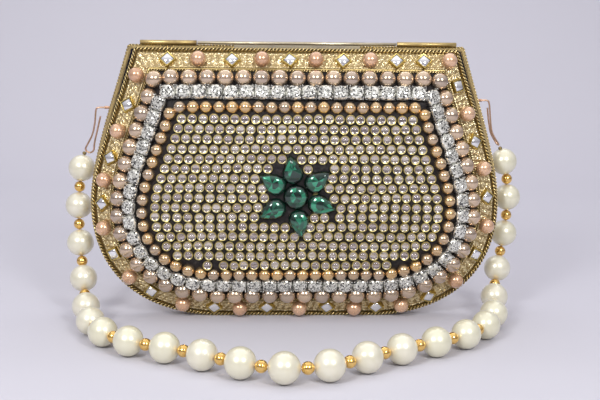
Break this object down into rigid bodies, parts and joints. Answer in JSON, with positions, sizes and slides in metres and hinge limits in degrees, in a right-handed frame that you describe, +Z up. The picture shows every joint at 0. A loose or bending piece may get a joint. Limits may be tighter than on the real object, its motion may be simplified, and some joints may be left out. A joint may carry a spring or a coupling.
{
  "type": "evening clutch bag",
  "caption": "Hinged metal clutch with dished shells, beaded and stone-set front, bottom hinge, top catch bar and pearl strand handle.",
  "frame": {"origin": "middle of the bottom rim, on the surface that the bag stands on, halfway through its depth", "axes": "+X to the right seen from the front, +Y to the back, +Z up"},
  "size_m": [0.2428, 0.1321, 0.143],
  "materials": {
    "antique_brass": "aged satin",
    "rope_gold": "twisted, dark in the grooves",
    "foil_gold": "embossed bright",
    "spring_steel": "satin",
    "velvet": "napped",
    "mosaic_stones": "foil-backed stones in dark cement",
    "champagne_beads": "metallic pearl",
    "crystals": "foil-backed faceted",
    "bronze_beads": "metallic pearl",
    "emerald_glass": "foil-backed faceted",
    "rose_wire": "rose plated",
    "cord": "waxed thread",
    "ivory_pearl": "pearl coated"
  },
  "bodies": {
    "back": {"back_lining": "velvet", "back_rim_rope": "rope_gold", "back_shell": "antique_brass", "catch_spring_bar": "spring_steel", "catch_tube_left": "antique_brass", "catch_tube_right": "antique_brass", "gusset_left": "velvet", "gusset_right": "velvet", "handle_eye_left": "antique_brass", "handle_eye_right": "antique_brass", "hinge_back_leaf": "antique_brass", "hinge_pin": "spring_steel"},
    "front": {"front_shell": "antique_brass", "front_rim_rope": "rope_gold", "front_lining": "velvet", "foil_band": "foil_gold", "band_inner_rope": "rope_gold", "bead_row_outer": "champagne_beads", "crystal_row": "crystals", "bead_row_inner": "bronze_beads", "mosaic_bed": "mosaic_stones", "centre_stone": "emerald_glass", "petal_stone_1": "emerald_glass", "petal_stone_2": "emerald_glass", "petal_stone_3": "emerald_glass", "petal_stone_4": "emerald_glass", "petal_stone_5": "emerald_glass", "petal_stone_6": "emerald_glass", "hinge_front_leaf": "antique_brass", "catch_lip": "spring_steel"},
    "handle": {"hook_left": "rose_wire", "hook_right": "rose_wire", "handle_cord": "cord", "pearl_01": "ivory_pearl", "pearl_02": "ivory_pearl", "pearl_03": "ivory_pearl", "pearl_04": "ivory_pearl", "pearl_05": "ivory_pearl", "pearl_06": "ivory_pearl", "pearl_07": "ivory_pearl", "pearl_08": "ivory_pearl", "pearl_09": "ivory_pearl", "pearl_10": "ivory_pearl", "pearl_11": "ivory_pearl", "pearl_12": "ivory_pearl", "pearl_13": "ivory_pearl", "pearl_14": "ivory_pearl", "pearl_15": "ivory_pearl", "pearl_16": "ivory_pearl", "pearl_17": "ivory_pearl", "pearl_18": "ivory_pearl", "pearl_19": "ivory_pearl", "pearl_20": "ivory_pearl", "pearl_21": "ivory_pearl", "pearl_22": "ivory_pearl", "pearl_23": "ivory_pearl", "pearl_24": "ivory_pearl"}
  },
  "joints": [
    {"name": "front_open", "type": "hinge", "parent": "back", "child": "front", "pos_m": [0, 0.00285, 0.0017], "axis": [1, 0, 0], "range_deg": [0, 30]},
    {"name": "handle_swing", "type": "hinge", "parent": "back", "child": "handle", "pos_m": [-0.00125, 0.00685, 0.111], "axis": [0.9997, 0, 0.0254], "range_deg": [-265, 0]}
  ]
}
